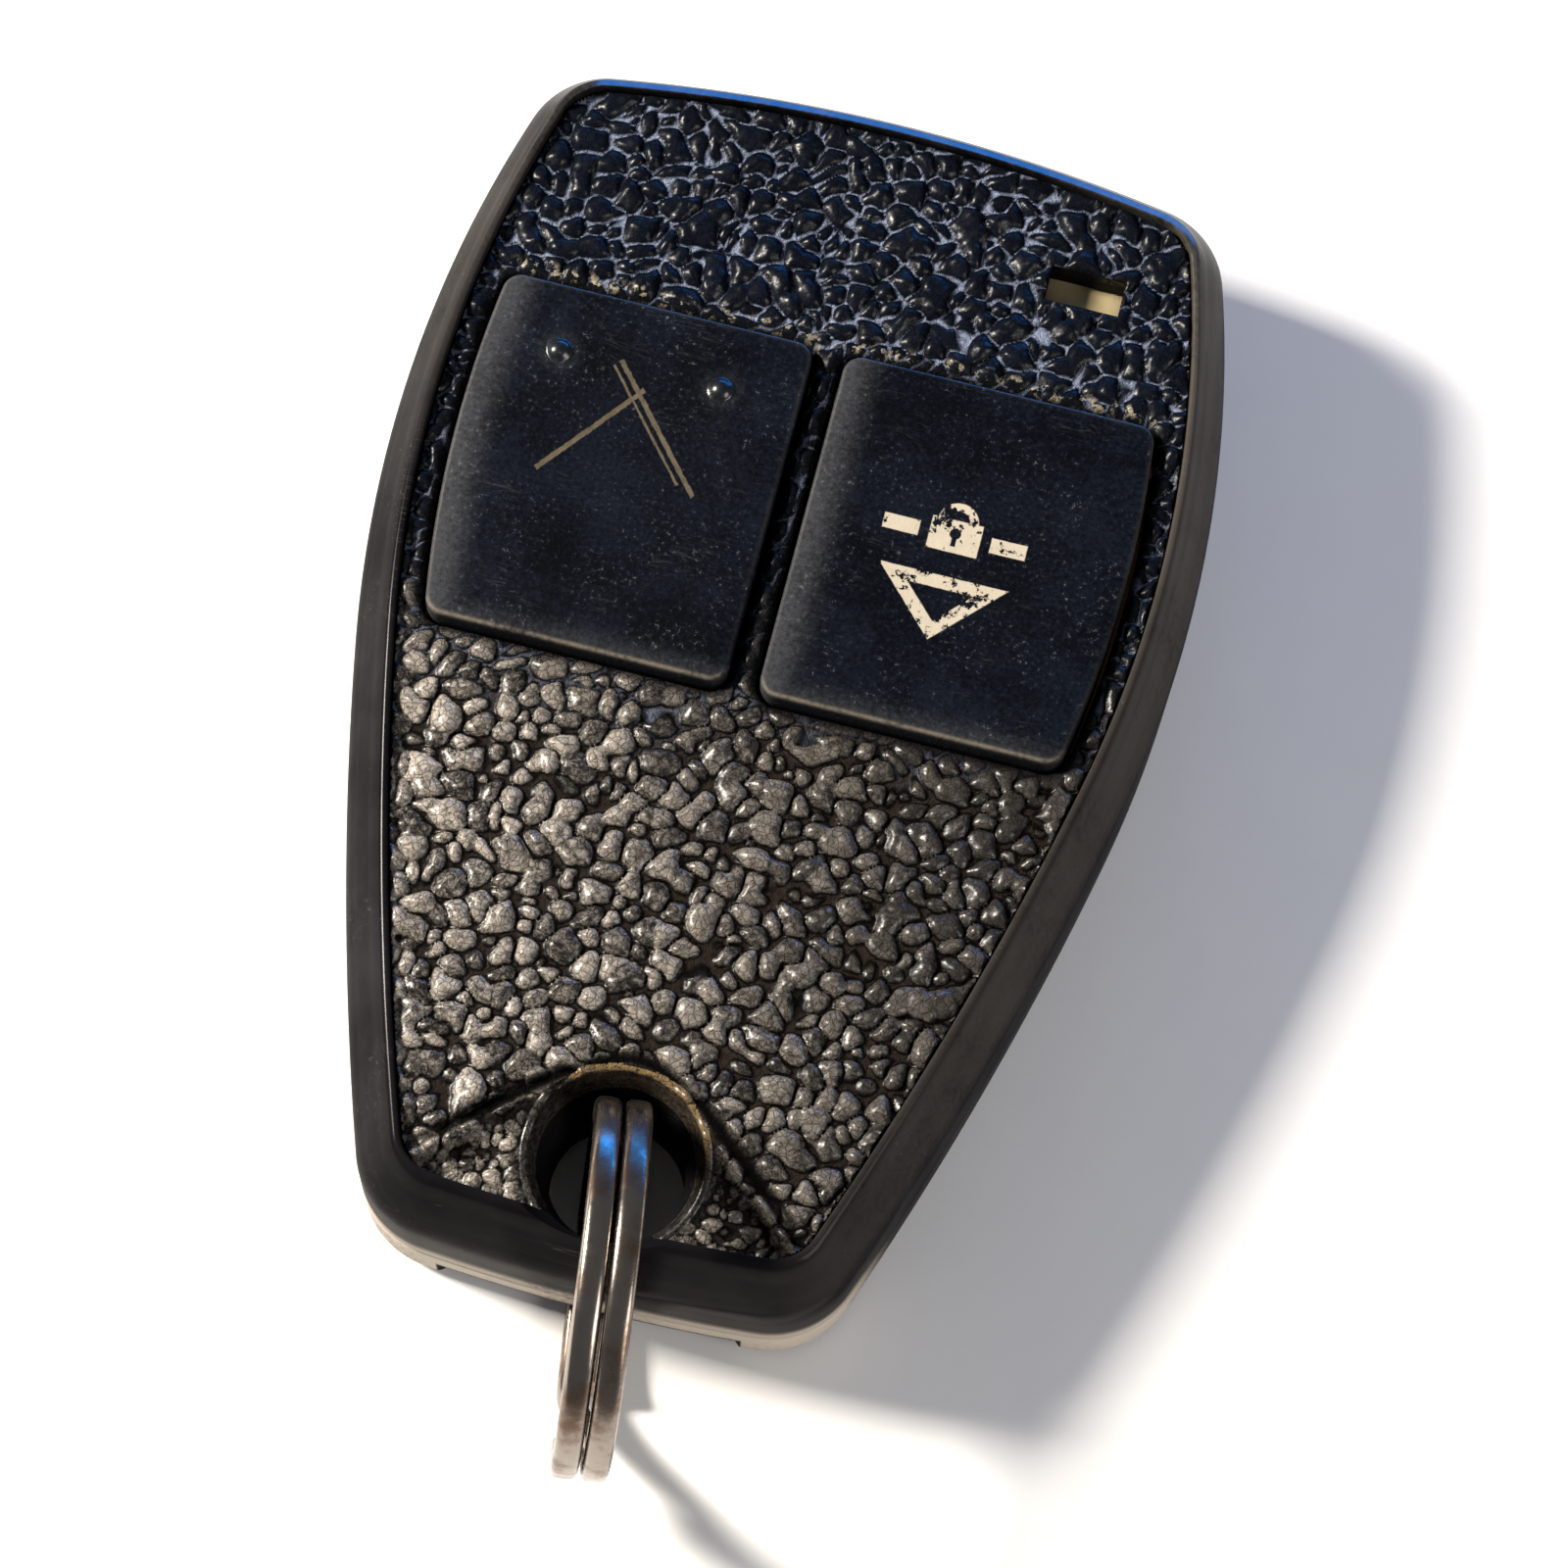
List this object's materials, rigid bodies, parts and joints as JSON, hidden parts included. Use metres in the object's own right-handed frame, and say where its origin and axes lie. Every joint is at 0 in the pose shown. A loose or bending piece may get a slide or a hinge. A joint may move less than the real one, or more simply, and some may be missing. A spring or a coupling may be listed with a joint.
{
  "type": "car key fob",
  "caption": "Handheld remote key fob with a pebble-grained face, side-by-side push keys, a lamp window and a steel split ring through its tapered end.",
  "frame": {"origin": "centre of the flat back of the case, on the surface it lies on", "axes": "+X to the right seen from the face, +Y to the wide end with the lamp, +Z out of the face"},
  "size_m": [0.0434, 0.0756, 0.0192],
  "materials": {
    "case_black": "satin moulded black plastic, warm, with fine scratches",
    "panel_grain": "pebble-grained black plastic with worn warm highlights",
    "key_black": "matte black plastic, dusty and scuffed",
    "lens_cream": "diffused cream lamp epoxy",
    "ring_nickel": "nickel-plated spring steel",
    "screw_steel": "zinc-plated steel",
    "tinned_metal": "tinned metal",
    "board_green": "solder mask on glass fibre",
    "copper": "bare copper",
    "switch_black": "moulded switch body",
    "lid_steel": "pressed steel",
    "plunger_grey": "moulded plunger",
    "cell_steel": "stainless steel can",
    "contact_brass": "spring brass",
    "chip_black": "moulded epoxy",
    "can_steel": "plated steel can",
    "trimmer_cream": "cream moulding",
    "capacitor_tan": "tan ceramic"
  },
  "bodies": {
    "fob": {"upper_case": "case_black", "grained_panel": "panel_grain", "rear_cover": "case_black", "case_screw": "screw_steel", "led_lens": "lens_cream", "led_leads": "tinned_metal", "circuit_board": "board_green", "loop_antenna": "copper", "left_switch_base": "switch_black", "right_switch_base": "switch_black", "left_switch_lid": "lid_steel", "right_switch_lid": "lid_steel", "left_switch_dome": "lid_steel", "right_switch_dome": "lid_steel", "switch_terminals": "tinned_metal", "coin_cell": "cell_steel", "positive_contact": "contact_brass", "negative_contact": "contact_brass", "encoder_chip": "chip_black", "encoder_leads": "tinned_metal", "resonator_can": "can_steel", "transistor": "chip_black", "trimmer_body": "trimmer_cream", "trimmer_rotor": "contact_brass", "chip_resistors": "chip_black", "chip_capacitors": "capacitor_tan"},
    "unlock_key": {"unlock_button": "key_black"},
    "lock_key": {"lock_button": "key_black"},
    "unlock_plunger": {"left_switch_plunger": "plunger_grey"},
    "lock_plunger": {"right_switch_plunger": "plunger_grey"},
    "key_ring": {"split_ring": "ring_nickel"}
  },
  "joints": [
    {"name": "unlock_press", "type": "slide", "parent": "fob", "child": "unlock_key", "axis": [0, 0, -1], "range_m": [0, 0.0004], "stiffness_N_per_m": 2000},
    {"name": "lock_press", "type": "slide", "parent": "fob", "child": "lock_key", "axis": [0, 0, -1], "range_m": [0, 0.0004], "stiffness_N_per_m": 2000},
    {"name": "unlock_plunger_press", "type": "slide", "parent": "fob", "child": "unlock_plunger", "axis": [0, 0, -1], "range_m": [0, 0.0004], "deforming": ["left_switch_dome"]},
    {"name": "lock_plunger_press", "type": "slide", "parent": "fob", "child": "lock_plunger", "axis": [0, 0, -1], "range_m": [0, 0.0004], "deforming": ["right_switch_dome"]},
    {"name": "ring_swing", "type": "hinge", "parent": "fob", "child": "key_ring", "pos_m": [0, -0.02675, 0.006], "axis": [0, 0, 1], "range_deg": [-48.2, 31.8]}
  ],
  "couplings": [
    {"joint": "unlock_plunger_press", "follows": "unlock_press", "ratio": 1},
    {"joint": "lock_plunger_press", "follows": "lock_press", "ratio": 1}
  ]
}
